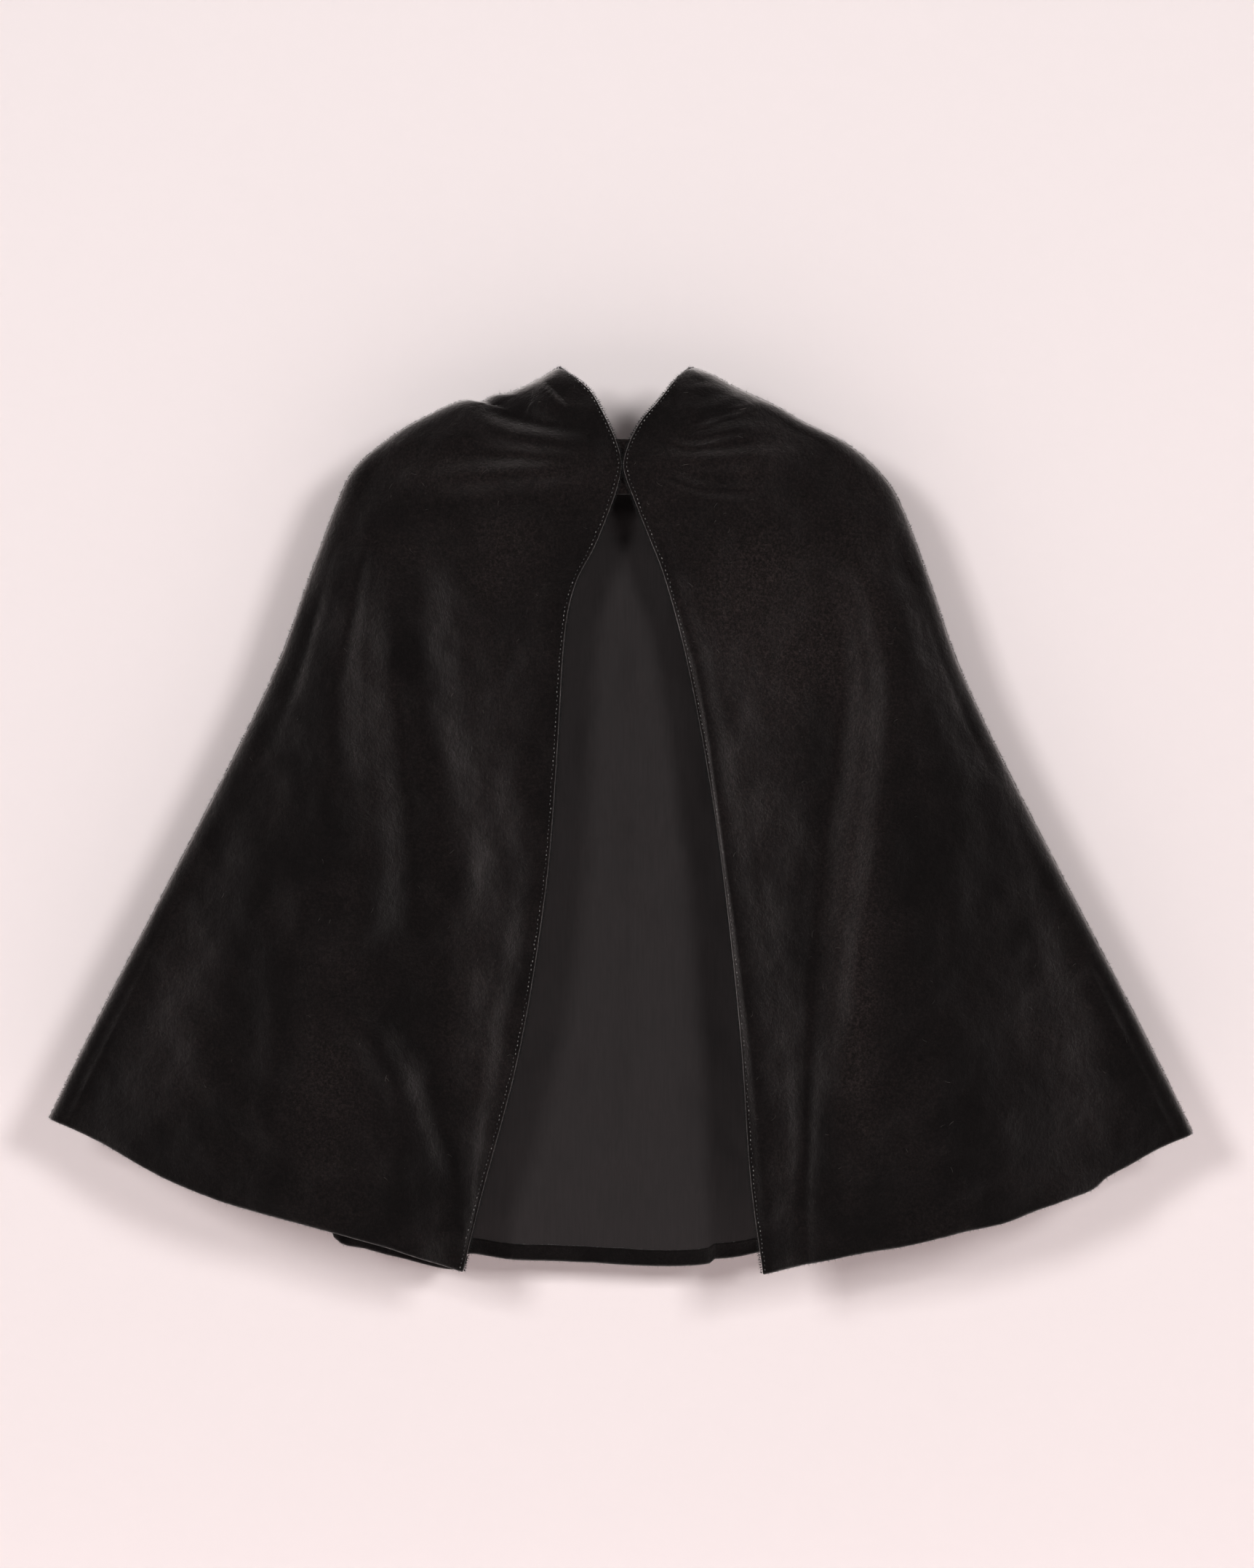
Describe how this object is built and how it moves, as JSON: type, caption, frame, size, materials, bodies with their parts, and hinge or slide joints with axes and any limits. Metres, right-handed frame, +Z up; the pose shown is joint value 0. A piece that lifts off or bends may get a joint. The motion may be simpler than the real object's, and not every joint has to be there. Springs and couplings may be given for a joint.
{
  "type": "superhero cape",
  "caption": "Lined black velvet child's cape with an open front, an A-line sweep and a hook-and-loop throat tab, hanging from its neck opening.",
  "frame": {"origin": "midway between the two shoulder folds at the top of the neck opening, where a hanger or shoulders carry the cape", "axes": "+X to the wearer's left, +Y from chest to back, +Z up"},
  "size_m": [0.75, 0.0723, 0.587],
  "materials": {
    "velvet": "deep black cotton velvet with a short upright pile and a soft sheen at grazing angles",
    "lining": "matt charcoal plain-weave cotton",
    "thread": "black polyester sewing thread with a slight glint",
    "hook_tape": "black nylon hook tape",
    "loop_tape": "black brushed nylon loop tape",
    "interfacing": "white non-woven interfacing"
  },
  "bodies": {
    "root": {"back_hem_seam": "thread", "back_lining": "lining", "back_shell": "velvet", "closure_tab_sewn_end": "velvet", "left_front_hem_seam": "thread", "left_front_lining": "lining", "left_front_shell": "velvet", "left_lining_seam": "thread", "left_side_seam": "thread", "loop_tape": "loop_tape", "loop_tape_stitching": "thread", "neck_stitching": "thread", "right_front_hem_seam": "thread", "right_front_lining": "lining", "right_front_shell": "velvet", "right_lining_seam": "thread", "right_side_seam": "thread", "tab_stitching": "thread"},
    "right_flap": {"right_edge_stitching": "thread", "right_flap_hem_seam": "thread", "right_flap_lining": "lining", "right_flap_shell": "velvet"},
    "left_flap": {"left_edge_stitching": "thread", "left_flap_hem_seam": "thread", "left_flap_lining": "lining", "left_flap_shell": "velvet"},
    "closure_tab": {"closure_tab_back": "velvet", "closure_tab_front": "velvet", "hook_tape": "hook_tape", "hook_tape_stitching": "thread", "tab_interfacing": "interfacing"}
  },
  "joints": [
    {"name": "right_flap_fold", "type": "hinge", "parent": "root", "child": "right_flap", "pos_m": [-0.01004, -0.02, -0.094], "axis": [-0.4047, -0.0371, -0.9137], "range_deg": [0, 150]},
    {"name": "left_flap_fold", "type": "hinge", "parent": "root", "child": "left_flap", "pos_m": [0.01102, -0.02, -0.094], "axis": [-0.4048, 0.0371, 0.9137], "range_deg": [0, 150]},
    {"name": "closure_tab_peel", "type": "hinge", "parent": "root", "child": "closure_tab", "pos_m": [-0.02, -0.0128, -0.062], "axis": [0, 0, 1], "range_deg": [0, 25]}
  ]
}
